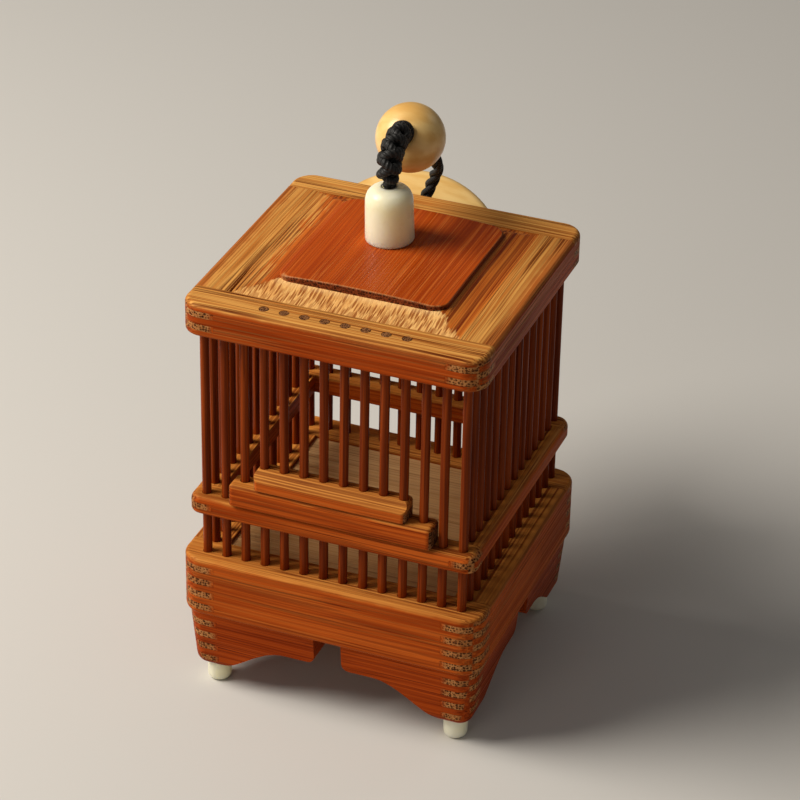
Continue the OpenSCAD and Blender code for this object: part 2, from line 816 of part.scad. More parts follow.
mid_side(1);  // mid_rail_right
lid_across(-1);  // lid_rail_front
lid_across(1);  // lid_rail_back
lid_side(-1);  // lid_rail_left
lid_side(1);  // lid_rail_right
lid_panel();
door_guide_batten();
door_top_batten();
door_bars();
finial();
cord();
bead();
toggle();
stop_knot();
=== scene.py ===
import math
import bpy
import numpy as np
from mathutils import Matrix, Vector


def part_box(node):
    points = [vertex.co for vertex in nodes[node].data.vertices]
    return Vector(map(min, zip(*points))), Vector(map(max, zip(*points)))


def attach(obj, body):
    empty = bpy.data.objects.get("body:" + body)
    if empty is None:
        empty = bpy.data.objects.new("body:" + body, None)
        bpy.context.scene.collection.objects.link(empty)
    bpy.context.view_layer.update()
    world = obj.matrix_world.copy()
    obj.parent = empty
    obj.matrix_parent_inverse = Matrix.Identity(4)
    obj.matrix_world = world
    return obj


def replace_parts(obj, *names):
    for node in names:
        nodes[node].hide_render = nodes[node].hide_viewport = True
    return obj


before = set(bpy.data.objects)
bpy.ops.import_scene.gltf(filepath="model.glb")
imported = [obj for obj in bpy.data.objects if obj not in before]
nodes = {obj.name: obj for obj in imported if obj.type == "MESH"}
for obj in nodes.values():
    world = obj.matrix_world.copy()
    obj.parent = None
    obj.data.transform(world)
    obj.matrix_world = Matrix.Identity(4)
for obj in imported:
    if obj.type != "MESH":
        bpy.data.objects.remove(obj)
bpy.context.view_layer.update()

mm = 0.001
print("frame loaded,", len(nodes), "CAD nodes")


def unit(v):
    v = np.array(v, float)
    return v / np.linalg.norm(v, axis=-1, keepdims=True)


def newObject(name, data):
    made = bpy.data.objects.new(name, data)
    bpy.context.scene.collection.objects.link(made)
    return made


def turnedMatrix(right, up, back, place):
    turn = np.eye(4)
    turn[:3] = np.column_stack([right, up, back, place])
    return turn.T.tolist()


# Camera at the photograph's angle

cameraView = {
    "target": (2.95, 0.0, 52.48),  # mm
    "azimuth": 20.78,  # degrees round to the right of the door
    "elevation": 30.79,
    "roll": 1.13,
    "distance": 558.56,  # mm
    "lens": 142.13,
    "sensor": 36.0,
    "nearest": 0.01,  # m
}


def placeCamera(view):
    az, el, roll = (math.radians(view[k]) for k in ("azimuth", "elevation", "roll"))
    back = np.array([math.cos(el) * math.sin(az), -math.cos(el) * math.cos(az), math.sin(el)])
    level = np.array([math.cos(az), math.sin(az), 0.0])
    upright = np.cross(back, level)
    right = level * math.cos(roll) + upright * math.sin(roll)
    up = upright * math.cos(roll) - level * math.sin(roll)
    data = bpy.data.cameras.new("viewCamera")
    data.lens = view["lens"]
    data.sensor_width = view["sensor"]
    data.clip_start = view["nearest"]
    camera = newObject("viewCamera", data)
    place = (np.array(view["target"]) + back * view["distance"]) * mm
    camera.matrix_world = turnedMatrix(right, up, back, place)
    bpy.context.scene.camera = camera


placeCamera(cameraView)

# Soft studio light: a large key on the left, a weak fill, a faint back light and a pale floor

studio = {
    "keyPlace": (-0.48, -0.2, 0.53),  # m
    "keySize": 0.46,
    "keyPower": 6.85,  # W
    "fillPlace": (-0.1, -0.8, 0.34),
    "fillSize": 0.5,
    "fillPower": 0.7,
    "backPlace": (0.35, 0.6, 0.45),
    "backSize": 0.34,
    "backPower": 0.2,
    "aim": (0.0, 0.0, 0.045),
    "warmth": (1.0, 0.93, 0.83),
    "sky": (1.0, 0.97, 0.93),
    "skyStrength": 0.11,
    "floorColour": (0.62, 0.61, 0.59),
    "floorRoughness": 0.8,
    "floorHalf": 3.0,
}


def areaLight(name, place, size, power):
    data = bpy.data.lights.new(name, "AREA")
    data.shape = "DISK"
    data.size = size
    data.energy = power
    data.color = studio["warmth"]
    back = unit(np.array(place) - studio["aim"])
    side = unit(np.cross((0.0, 0.0, 1.0), back))
    newObject(name, data).matrix_world = turnedMatrix(side, np.cross(back, side), back, place)


for which in ("key", "fill", "back"):
    areaLight(which + "Light", studio[which + "Place"], studio[which + "Size"], studio[which + "Power"])

world = bpy.data.worlds.new("studioWorld")
world.use_nodes = True
skyInputs = world.node_tree.nodes["Background"].inputs
skyInputs["Color"].default_value = (*studio["sky"], 1)
skyInputs["Strength"].default_value = studio["skyStrength"]
bpy.context.scene.world = world
bpy.context.scene.view_settings.view_transform = "Standard"
print("camera, lamps and world set")

# Small helpers for node trees


def addNode(tree, kind, links=None, **values):
    # A node with its properties set, then its inputs set or linked by name or number.
    # A colour may leave out its alpha.
    node = tree.nodes.new(kind)
    for key, value in values.items():
        setattr(node, key, value)
    for key, value in (links or {}).items():
        socket = node.inputs[key]
        if isinstance(value, bpy.types.NodeSocket):
            tree.links.new(value, socket)
        else:
            socket.default_value = (*value, 1)[:4] if socket.type == "RGBA" else value
    return node


def newGroup(name, inputs, outputs):
    # Each input has the kind of its socket or, for a number, the value that it starts from
    group = bpy.data.node_groups.new(name, "ShaderNodeTree")
    for key, first in inputs.items():
        kind = first if isinstance(first, str) else "Float"
        socket = group.interface.new_socket(key, in_out="INPUT", socket_type="NodeSocket" + kind)
        if kind == "Float":
            socket.default_value = first
    for key, kind in outputs.items():
        group.interface.new_socket(key, in_out="OUTPUT", socket_type="NodeSocket" + kind)
    entry = group.nodes.new("NodeGroupInput")
    leave = group.nodes.new("NodeGroupOutput")
    return group, entry.outputs, leave.inputs


def math2(tree, operation, a, b=0.0):
    return addNode(tree, "ShaderNodeMath", {0: a, 1: b}, operation=operation).outputs[0]


def times(tree, a, b):
    return math2(tree, "MULTIPLY", a, b)


def plus(tree, a, b):
    return math2(tree, "ADD", a, b)


def minus(tree, a, b):
    return math2(tree, "SUBTRACT", a, b)


def vectorMath(tree, operation, a, b):
    return addNode(tree, "ShaderNodeVectorMath", {0: a, 1: b}, operation=operation).outputs[0]


def axesOf(tree, vector):
    return addNode(tree, "ShaderNodeSeparateXYZ", {0: vector}).outputs


def noise(tree, vector, detail, scale=1.0):
    return addNode(tree, "ShaderNodeTexNoise", {"Vector": vector, "Scale": scale, "Detail": detail}).outputs


def stretched(tree, vector, along, across):
    # The coordinates drawn out along the fibre, which is the first axis
    return vectorMath(tree, "MULTIPLY", vector, (along, across, across))


def ramp(tree, value, low, high, start=0.0, end=1.0):
    # A smooth step from start, where the value is low, to end, where it is high
    node = addNode(tree, "ShaderNodeMapRange", {0: value, 1: low, 2: high, 3: start, 4: end})
    node.interpolation_type = "SMOOTHSTEP"
    return node.outputs[0]


def mixColour(tree, factor, a, b):
    # Sockets 6 and 7 of a Mix node are its two colours, and output 2 is the colour made
    return addNode(tree, "ShaderNodeMix", {0: factor, 6: a, 7: b}, data_type="RGBA").outputs[2]


def objectPlace(tree):
    return addNode(tree, "ShaderNodeTexCoord").outputs["Object"]


# Bamboo fibre and soft levels, as node groups that the materials share

fibreGrain = {
    # each noise: cycles to the metre along the fibre and across it, and its detail
    "sway": (30, 90, 1.0),
    "gaps": (70, 800, 2.0),
    "streaks": (22, 2300, 3.0),
    "hairs": (30, 4200, 1.0),
    "broad": (24, 160, 2.0),
    "crowd": (26, 420, 1.0),
    # each ramp: low, high, and what it gives at both
    "bundleSize": (0, 1, 0.5, 1.3),  # share of Thickness, by chance
    "bundleEdge": (-0.07, 0.06, 1, 0),
    "faint": (0.05, 0.7, 0.75, 0),  # how far a bundle fades, by chance
    "broken": (0.3, 0.6, 0.6, 0),  # how far it fades in its gaps
    "loose": (0.36, 0.6, 0.6, 0),  # how far it fades where bundles stand apart
    "hair": (0.57, 0.65, 0, 0.8),
    "streak": (0.38, 0.62),
    "cloud": (0.35, 0.68, 0, 0.35),
    "rough": (0.3, 0.75, 0.26, 0.42),
    # single values
    "swayReach": 0.0008,  # m
    "streakShare": 0.65,  # of the pith's change of tone
    "bundleRoughness": 0.2,
    "streakHeight": 0.5,  # against 1 for the depth of a bundle
}


def makeFibreGroup(grain):
    # Bamboo as a solid: bundles of dark fibre run along the first axis, so a long face shows
    # lines, a slope short strokes and an end a field of dots. Between them lies streaky pith.
    group, given, made = newGroup(
        "bambooFibre",
        {
            "Vector": "Vector", "Pale": "Color", "Deep": "Color", "Fibre": "Color",
            "Bundles": 1800.0,  # to the metre
            "Darkness": 1.0,
            "Thickness": 0.3,
            "Squeeze": 1.0,
            "Sparse": 1.0,
            "Scatter": 0.9,
        },
        {"Color": "Color", "Roughness": "Float", "Height": "Float", "Bundle": "Float"},
    )

    def grainNoise(vector, name):
        along, across, detail = grain[name]
        return noise(group, stretched(group, vector, along, across), detail)

    place = given["Vector"]
    sway = vectorMath(group, "SUBTRACT", grainNoise(place, "sway")["Color"], (0.5, 0.5, 0.5))
    sway = vectorMath(group, "MULTIPLY", sway, (0, grain["swayReach"], grain["swayReach"]))
    bent = vectorMath(group, "ADD", place, sway)

    # bundles: round cells of the cross section, each with its own size and strength
    parts = axesOf(group, bent)
    tall = times(group, parts[2], given["Squeeze"])
    section = addNode(group, "ShaderNodeCombineXYZ", {0: parts[1], 1: tall}).outputs[0]
    cellInputs = {"Vector": section, "Scale": given["Bundles"], "Randomness": given["Scatter"]}
    cells = addNode(group, "ShaderNodeTexVoronoi", cellInputs, voronoi_dimensions="2D").outputs
    luck = addNode(group, "ShaderNodeSeparateColor", {0: cells["Color"]}).outputs
    thick = times(group, given["Thickness"], ramp(group, luck[1], *grain["bundleSize"]))
    bundle = ramp(group, minus(group, cells["Distance"], thick), *grain["bundleEdge"])
    faint = ramp(group, luck[0], *grain["faint"])
    broken = ramp(group, grainNoise(bent, "gaps")["Fac"], *grain["broken"])
    lost = times(group, given["Sparse"], math2(group, "MAXIMUM", faint, broken))
    strong = times(group, bundle, minus(group, 1.0, lost))

    # pith: fine streaks and broad clouds
    streaks = grainNoise(bent, "streaks")["Fac"]
    broad = grainNoise(place, "broad")["Fac"]
    tone = times(group, ramp(group, streaks, *grain["streak"]), grain["streakShare"])
    tone = plus(group, tone, ramp(group, broad, *grain["cloud"]))
    pith = mixColour(group, tone, given["Pale"], given["Deep"])

    # single hairs beside the bundles, and both fewer where the fibres stand apart
    hairs = grainNoise(bent, "hairs")["Fac"]
    hair = times(group, given["Sparse"], ramp(group, hairs, *grain["hair"]))
    strong = math2(group, "MAXIMUM", strong, hair)
    crowd = grainNoise(bent, "crowd")["Fac"]
    loose = times(group, given["Sparse"], ramp(group, crowd, *grain["loose"]))
    strong = times(group, strong, minus(group, 1.0, loose))

    mask = times(group, strong, given["Darkness"])
    pores = times(group, strong, grain["bundleRoughness"])
    ridges = times(group, streaks, grain["streakHeight"])
    results = {
        "Color": mixColour(group, mask, pith, given["Fibre"]),
        "Roughness": plus(group, ramp(group, streaks, *grain["rough"]), pores),
        "Height": minus(group, ridges, strong),
        "Bundle": strong,
    }
    for key, value in results.items():
        group.links.new(value, made[key])
    return group


def makeLevelGroup(wanderScale=260.0):
    # 1 where a value is past a level and 0 before it, over a soft band that wanders a little
    group, given, made = newGroup(
        "pastLevel", {"Value": 0.0, "Level": 0.0, "Band": 0.0006, "Vector": "Vector"}, {"Mask": "Float"}
    )
    wander = noise(group, given["Vector"], 2.0, wanderScale)["Fac"]
    lift = times(group, minus(group, wander, 0.5), given["Band"])
    past = minus(group, plus(group, given["Value"], lift), given["Level"])
    share = math2(group, "DIVIDE", past, given["Band"])
    group.links.new(ramp(group, share, -0.5, 0.5), made["Mask"])
    return group


fibreGroup = makeFibreGroup(fibreGrain)
levelGroup = makeLevelGroup()
fibreTurns = {
    "x": (0.0, 0.0, 0.0),
    "y": (0.0, 0.0, -math.pi / 2),
    "z": (0.0, math.pi / 2, 0.0),
}
bambooTones = {  # pale and deep pith, and fibre
    "rail": ((0.54, 0.105, 0.012), (0.29, 0.037, 0.003), (0.12, 0.014, 0.002)),
    "darkRail": ((0.44, 0.068, 0.007), (0.23, 0.026, 0.002), (0.1, 0.011, 0.002)),
    "railTop": ((0.72, 0.36, 0.09), (0.44, 0.13, 0.019), (0.1, 0.017, 0.003)),
    "lowerTop": ((0.6, 0.24, 0.048), (0.44, 0.14, 0.023), (0.17, 0.035, 0.006)),
    "bar": ((0.28, 0.046, 0.005), (0.14, 0.019, 0.002), (0.065, 0.008, 0.002)),
    "field": ((0.46, 0.075, 0.006), (0.31, 0.038, 0.003), (0.7, 0.2, 0.035)),
    "fieldStep": ((0.26, 0.06, 0.018), (0.13, 0.023, 0.006), (0.03, 0.006, 0.002)),
    "sideMargin": ((0.58, 0.14, 0.016), (0.4, 0.07, 0.007), (0.19, 0.026, 0.004)),
    "rightMargin": ((0.64, 0.2, 0.028), (0.44, 0.085, 0.009), (0.17, 0.02, 0.003)),
    "frontMargin": ((0.86, 0.5, 0.175), (0.76, 0.37, 0.11), (0.33, 0.1, 0.02)),
    "end": ((0.5, 0.22, 0.075), (0.33, 0.11, 0.028), (0.045, 0.011, 0.004)),
    "barEnd": ((0.3, 0.13, 0.05), (0.16, 0.06, 0.022), (0.022, 0.007, 0.003)),
    "floor": ((0.6, 0.36, 0.16), (0.46, 0.24, 0.09), (0.22, 0.09, 0.03)),
}
bambooFinishes = {k: dict(zip(("pale", "deep", "fibre"), tones)) for k, tones in bambooTones.items()}
fibreBump = 0.0001  # m


def fibreNode(tree, axis, finish, **fibres):
    # fibres: bundles to the metre, darkness, thickness, squeeze, sparse and scatter, for the group
    turned = addNode(tree, "ShaderNodeMapping", {"Vector": objectPlace(tree), "Rotation": fibreTurns[axis]})
    inputs = {key.capitalize(): value for key, value in (bambooFinishes[finish] | fibres).items()}
    inputs["Vector"] = turned.outputs[0]
    return addNode(tree, "ShaderNodeGroup", inputs, node_tree=fibreGroup).outputs


def pastLevel(tree, value, level, band):
    inputs = {"Value": value, "Level": level, "Band": band, "Vector": objectPlace(tree)}
    return addNode(tree, "ShaderNodeGroup", inputs, node_tree=levelGroup).outputs[0]


# Materials


def newMaterial(name, roughness=0.35, specular=0.3, coat=0.0, coatRoughness=0.12):
    material = bpy.data.materials.new(name)
    material.use_nodes = True
    shader = material.node_tree.nodes["Principled BSDF"]
    shader.inputs["Roughness"].default_value = roughness
    shader.inputs["Specular IOR Level"].default_value = specular
    shader.inputs["Coat Weight"].default_value = coat
    shader.inputs["Coat Roughness"].default_value = coatRoughness
    return material, material.node_tree, shader


def finishShader(tree, shader, skin, roughness, height, depth, strength=0.5):
    # Colour and roughness to the shader, and height through a bump that is depth metres deep
    tree.links.new(skin, shader.inputs["Base Color"])
    tree.links.new(roughness, shader.inputs["Roughness"])
    bump = addNode(tree, "ShaderNodeBump", {"Height": height, "Distance": depth, "Strength": strength})
    tree.links.new(bump.outputs[0], shader.inputs["Normal"])


railWear = {
    "specular": 0.025,
    "sideLines": {"darkness": 0.85, "thickness": 0.26},
    "topLines": {  # by the way the rail runs
        "x": {"bundles": 2100.0, "thickness": 0.38},
        "y": {"bundles": 1650.0, "thickness": 0.4},
    },
    "endDots": {"bundles": 1950.0, "thickness": 0.38, "sparse": 0.2, "scatter": 0.63},
    "endBand": 0.0003,  # m, as all lengths here
    "frayStart": 0.0006,  # from the inner face
    "frayBand": 0.0014,
    "topRagged": 0.0003,  # how far the border of the worn top follows the fibres
    "rubbedRagged": 0.001,
    "rubbedBand": 0.0022,
    "rubbedShare": 0.6,
}


def railMaterial(name, axis, endLevel, innerLevel, worn, endFinish="end", outerLevel=None):
    # Orange sides with some pale threads, a paler worn top, and dotted end grain past endLevel that
    # frays out towards innerLevel, the board's inner face. Past outerLevel the top has the sides'
    # colour again. Levels are in metres.
    material, tree, shader = newMaterial(name, specular=railWear["specular"])
    side = fibreNode(tree, axis, worn["side"], **railWear["sideLines"])
    top = fibreNode(tree, axis, worn["top"], **railWear["topLines"][axis])
    end = fibreNode(tree, axis, endFinish, **railWear["endDots"])
    parts = axesOf(tree, objectPlace(tree))
    order = (0, 1) if axis == "x" else (1, 0)
    along, across = (math2(tree, "ABSOLUTE", parts[k]) for k in order)
    ragged = times(tree, side["Height"], railWear["topRagged"])
    upper = pastLevel(tree, plus(tree, parts[2], ragged), worn["level"], worn["band"])
    frayed = pastLevel(tree, across, innerLevel + railWear["frayStart"], railWear["frayBand"])
    if outerLevel:
        ragged = times(tree, side["Height"], railWear["rubbedRagged"])
        outward = minus(tree, across, ragged)
        rubbed = pastLevel(tree, outward, outerLevel, railWear["rubbedBand"])
        rubbed = times(tree, rubbed, railWear["rubbedShare"])
        upper = minus(tree, upper, times(tree, upper, rubbed))
    ending = times(tree, pastLevel(tree, along, endLevel, railWear["endBand"]), frayed)
    ending = times(tree, ending, minus(tree, 1.0, upper))
    threads = times(tree, top["Bundle"], worn["threads"])
    skin = mixColour(tree, threads, side["Color"], bambooFinishes[worn["top"]]["pale"])
    skin = mixColour(tree, upper, skin, top["Color"])
    skin = mixColour(tree, ending, skin, end["Color"])
    finishShader(tree, shader, skin, side["Roughness"], side["Height"], fibreBump)
    return material


def floorBoardMaterial():
    material, tree, shader = newMaterial("floorBamboo", specular=0.1)
    board = fibreNode(tree, "x", "floor", darkness=0.6)
    finishShader(tree, shader, board["Color"], board["Roughness"], board["Height"], fibreBump)
    return material


barFibres = {
    "specular": 0.05,
    "sideLines": {"darkness": 0.6},
    "endDots": {"bundles": 2600.0, "thickness": 0.34, "sparse": 0.3, "scatter": 0.7},
    "endBand": 0.0002,  # m
    "polish": 0.06,  # off the roughness of the fibre
}


def barMaterial(name, endLevel):
    # Dark polished bars, with open end grain above endLevel
    material, tree, shader = newMaterial(name, specular=barFibres["specular"])
    side = fibreNode(tree, "z", "bar", **barFibres["sideLines"])
    end = fibreNode(tree, "z", "barEnd", **barFibres["endDots"])
    height = axesOf(tree, objectPlace(tree))[2]
    ending = pastLevel(tree, height, endLevel, barFibres["endBand"])
    skin = mixColour(tree, ending, side["Color"], end["Color"])
    rough = minus(tree, side["Roughness"], barFibres["polish"])
    finishShader(tree, shader, skin, rough, side["Height"], fibreBump)
    return material


panelShares = ("field", "step", "facing", "run")
panelFibres = {
    "field": {"finish": "field", "bundles": 650.0, "darkness": 0.55, "thickness": 0.1},
    "step": {"finish": "fieldStep", "bundles": 2000.0, "thickness": 0.4, "sparse": 0.3, "scatter": 0.7},
    "outer": {"finish": "railTop", "bundles": 1650.0, "thickness": 0.4},
    "inner": {"finish": "sideMargin", "bundles": 2100.0, "darkness": 0.9, "thickness": 0.34},
    "right": {"finish": "rightMargin", "bundles": 1300.0, "thickness": 0.4, "sparse": 0.5},
    "front": {"finish": "frontMargin", "bundles": 1750.0, "thickness": 0.34, "squeeze": 0.62, "sparse": 0.1},
}
panelBorders = {
    "ragged": (2400, 200, 2400),  # cycles to the metre on each axis
    "nicks": (2700, 430, 0),
    # ramps
    "inward": (0.2, 0.75),  # along the run from the rail to the field
    "sideways": (-0.006, 0.006),  # m
    "facing": (0.4, 0.6),
    "nickDepth": (0.44, 0.56, 0, 0.5),
    "nickFade": (0.45, 1, 1, 0.4),
    "whitening": (0.7, 1, 0, 0.3),
    # single values
    "inwardRagged": 1.6,
    "white": (0.94, 0.68, 0.34),  # fresh cut next to the step
    "specular": 0.1,
    "fieldRoughness": 0.25,
}


def panelMaterial(borders):
    # Polished field, its cut step, and margins to the front, the sides and the back, by the piece's
    # own attributes. The borders between them are ragged, because they follow the fibres.
    material, tree, shader = newMaterial("lidPanelBamboo", specular=borders["specular"])
    wood = {name: fibreNode(tree, "y", **fibres) for name, fibres in panelFibres.items()}
    tint = {name: outputs["Color"] for name, outputs in wood.items()}
    share = {n: addNode(tree, "ShaderNodeAttribute", attribute_name=n).outputs["Fac"] for n in panelShares}
    place = objectPlace(tree)
    parts = axesOf(tree, place)
    rightward, backward = (ramp(tree, parts[k], *borders["sideways"]) for k in (0, 1))
    ragged = noise(tree, vectorMath(tree, "MULTIPLY", place, borders["ragged"]), 2.0)["Fac"]
    ragged = minus(tree, ragged, 0.5)
    run = times(tree, ragged, borders["inwardRagged"])
    inward = ramp(tree, plus(tree, share["run"], run), *borders["inward"])
    facing = ramp(tree, plus(tree, share["facing"], ragged), *borders["facing"])
    nicks = noise(tree, vectorMath(tree, "MULTIPLY", place, borders["nicks"]), 0.0)["Fac"]
    fade = ramp(tree, share["run"], *borders["nickFade"])
    nicks = times(tree, ramp(tree, nicks, *borders["nickDepth"]), fade)
    whitening = ramp(tree, share["run"], *borders["whitening"])
    cut = mixColour(tree, whitening, tint["front"], borders["white"])
    cut = mixColour(tree, nicks, cut, bambooFinishes["frontMargin"]["fibre"])
    cut = mixColour(tree, backward, cut, tint["right"])
    sides = mixColour(tree, inward, tint["outer"], tint["inner"])
    sides = mixColour(tree, rightward, sides, tint["right"])
    skin = mixColour(tree, facing, sides, cut)
    skin = mixColour(tree, share["step"], skin, tint["step"])
    skin = mixColour(tree, share["field"], skin, tint["field"])
    margin = wood["inner"]
    roughs = {0: share["field"], 2: margin["Roughness"], 3: borders["fieldRoughness"]}
    rough = addNode(tree, "ShaderNodeMix", roughs).outputs[0]
    finishShader(tree, shader, skin, rough, margin["Height"], fibreBump)
    return material


boneLook = {
    "pale": (0.93, 0.875, 0.65),
    "deep": (0.89, 0.815, 0.54),
    "grain": (0.74, 0.65, 0.42),
    "grainScale": 420.0,
    "cloudScale": 120.0,
    "cloudRamp": (0.35, 0.7),
    "grainRamp": (0.62, 0.78, 0, 0.35),
    "roughRamp": (0.3, 0.75, 0.26, 0.42),
    "polish": {"coat": 0.15},
    "bump": (0.00004, 0.3),  # depth in m, and strength
    "glow": {  # light that passes under the surface
        "Subsurface Weight": 0.85,
        "Subsurface Scale": 0.006,
        "Subsurface Radius": (1.0, 0.95, 0.8),
    },
}


def boneMaterial(look):
    material, tree, shader = newMaterial("polishedBone", **look["polish"])
    place = objectPlace(tree)
    grain = noise(tree, place, 4.0, look["grainScale"])["Fac"]
    cloud = noise(tree, place, 2.0, look["cloudScale"])["Fac"]
    skin = mixColour(tree, ramp(tree, cloud, *look["cloudRamp"]), look["pale"], look["deep"])
    skin = mixColour(tree, ramp(tree, grain, *look["grainRamp"]), skin, look["grain"])
    rough = ramp(tree, grain, *look["roughRamp"])
    finishShader(tree, shader, skin, rough, grain, *look["bump"])
    for key, value in look["glow"].items():
        shader.inputs[key].default_value = value
    return material


boxwoodLook = {
    "pale": (0.87, 0.59, 0.23),
    "deep": (0.75, 0.44, 0.125),
    "cloud": (0.62, 0.31, 0.07),
    "rings": (90, 420),  # cycles to the metre along the grain and across it
    "cloudScale": 110.0,
    "ringRamp": (0.32, 0.7),
    "cloudRamp": (0.45, 0.75, 0, 0.5),
    "roughRamp": (0.3, 0.75, 0.3, 0.44),
    "polish": {"coat": 0.25, "coatRoughness": 0.2},
    "bump": (0.00005, 0.3),
}


def boxwoodMaterial(look):
    material, tree, shader = newMaterial("turnedBoxwood", **look["polish"])
    place = objectPlace(tree)
    rings = noise(tree, stretched(tree, place, *look["rings"]), 4.0)["Fac"]
    cloud = noise(tree, place, 2.0, look["cloudScale"])["Fac"]
    skin = mixColour(tree, ramp(tree, rings, *look["ringRamp"]), look["pale"], look["deep"])
    skin = mixColour(tree, ramp(tree, cloud, *look["cloudRamp"]), skin, look["cloud"])
    rough = ramp(tree, rings, *look["roughRamp"])
    finishShader(tree, shader, skin, rough, rings, *look["bump"])
    return material


threadLook = {
    "hollow": (0.006, 0.006, 0.006),
    # painted sheen: the paler colour where the strands stand up
    "raised": (0.035, 0.034, 0.033),
    "fuzzScale": 5200.0,
    "strandRamp": (-0.9, 0.9),
    "roughRamp": (0.3, 0.7, 0.42, 0.7),
    "bump": (0.00016, 0.8),
}


def cordMaterial(look):
    # Black thread: slanted strands from the piece's own map, paler where they stand up, which is a painted
    # sheen
    material, tree, shader = newMaterial("blackThread")
    across, along = axesOf(tree, addNode(tree, "ShaderNodeUVMap", uv_map="thread").outputs[0])[:2]
    slant = times(tree, plus(tree, across, along), 2 * math.pi)
    strand = ramp(tree, math2(tree, "SINE", slant), *look["strandRamp"])
    fuzz = noise(tree, objectPlace(tree), 2.0, look["fuzzScale"])["Fac"]
    # painted sheen on the crests of the strands
    skin = mixColour(tree, times(tree, strand, fuzz), look["hollow"], look["raised"])
    rough = ramp(tree, fuzz, *look["roughRamp"])
    finishShader(tree, shader, skin, rough, strand, *look["bump"])
    return material


def studioFloorMaterial():
    material, tree, shader = newMaterial("paleFloor", roughness=studio["floorRoughness"])
    shader.inputs["Base Color"].default_value = (*studio["floorColour"], 1)
    return material


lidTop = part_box("lid_rail_front")[1][2]
boneFinish = boneMaterial(boneLook)
boxwoodFinish = boxwoodMaterial(boxwoodLook)
cordFinish = cordMaterial(threadLook)
barFinish = barMaterial("barBamboo", lidTop + 1 * mm)  # its level is above the bars, so no end shows
doorBarFinish = barMaterial("doorBarBamboo", lidTop - 0.3 * mm)  # ends show in the lid
panelFinish = panelMaterial(panelBorders)

# Rails, boards and battens keep their CAD shape: how far under its top each frame is worn and over
# what band, in mm, its two finishes, and the share of pale threads on its sides
wornTops = {
    "lid_rail": {"depth": 0.5, "band": 0.9, "top": "railTop", "side": "darkRail", "threads": 0.2},
    "mid_rail": {"depth": 0.4, "band": 0.7, "top": "lowerTop", "side": "rail", "threads": 0.1},
    "base": {"depth": 0.4, "band": 0.8, "top": "lowerTop", "side": "rail", "threads": 0.18},
    "apron": {"depth": -1.0, "band": 0.3, "top": "lowerTop", "side": "darkRail", "threads": 0.0},  # no wear
    "door_guide_batten": {"depth": 0.4, "band": 0.5, "top": "lowerTop", "side": "rail", "threads": 0.08},
    "door_top_batten": {"depth": 1.6, "band": 0.5, "top": "lowerTop", "side": "rail", "threads": 0.2},
}
railEnds = {"frame": 1.2, "batten": 0.35, "lidEdge": 2.0}  # mm from the outside


def dress(members, material):
    for node in members:
        nodes[node].data.materials.clear()
        nodes[node].data.materials.append(material)


def dressFrame(ring, worn):
    fronts, backs, lefts, rights = (
        [n for n in nodes if n.startswith(ring + side)] for side in ("_front", "_back", "_left", "_right")
    )
    farX, nearX = max(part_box(n)[1][0] for n in rights), min(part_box(n)[0][0] for n in rights)
    farY, nearY = max(-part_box(n)[0][1] for n in fronts), min(-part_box(n)[1][1] for n in fronts)
    lidEdge = farX - railEnds["lidEdge"] * mm if ring == "lid_rail" else None
    endX, endY = farX - railEnds["frame"] * mm, farY - railEnds["frame"] * mm
    dress(fronts + backs, railMaterial(ring + "AcrossBamboo", "x", endX, nearY, worn))
    dress(lefts + rights, railMaterial(ring + "AlongBamboo", "y", endY, nearX, worn, outerLevel=lidEdge))


for ring, wear in wornTops.items():
    ringTop = max(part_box(n)[1][2] for n in nodes if n.startswith(ring))
    worn = wear | {"level": ringTop - wear["depth"] * mm, "band": wear["band"] * mm}
    if ring in nodes:
        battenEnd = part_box(ring)[1][0] - railEnds["batten"] * mm
        dress([ring], railMaterial(ring + "Bamboo", "x", battenEnd, 0.0, worn, "barEnd"))
    else:
        dressFrame(ring, worn)
dress(["floor_board"], floorBoardMaterial())
print("materials made, CAD nodes dressed")

# Surfaces from grids of points


def surfacePiece(name, points, material, body, closed=False, repeat=(1.0, 1.0)):
    # points[piece, ring, side]: each ring joins the next one, and a closed run joins its ends,
    # while an open one has its first and last ring filled
    count, rings, sides = points.shape[:3]
    index = np.arange(count * rings * sides).reshape(count, rings, sides)
    low = index if closed else index[:, :-1]
    high = np.roll(index, -1, 1) if closed else index[:, 1:]
    quads = np.stack([low, np.roll(low, -1, 2), np.roll(high, -1, 2), high], -1).reshape(-1, 4)
    faces = quads.tolist()
    if not closed:
        faces += index[:, 0, ::-1].tolist() + index[:, -1].tolist()
    mesh = bpy.data.meshes.new(name)
    mesh.from_pydata(points.reshape(-1, 3).tolist(), [], faces)
    spans = rings if closed else rings - 1
    side, ring = np.meshgrid(np.arange(sides), np.arange(spans))
    corner = np.stack([side, ring, side + 1, ring, side + 1, ring + 1, side, ring + 1], -1)
    uv = corner.reshape(-1, 2) / (sides, spans) * repeat
    flat = np.zeros((len(mesh.loops), 2))
    flat[: count * len(uv)] = np.tile(uv, (count, 1))
    mesh.uv_layers.new(name="thread").data.foreach_set("uv", flat.ravel())
    mesh.polygons.foreach_set("use_smooth", np.arange(len(faces)) < len(quads))
    mesh.materials.append(material)
    mesh.validate()
    piece = newObject(name, mesh)
    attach(piece, body)
    return piece


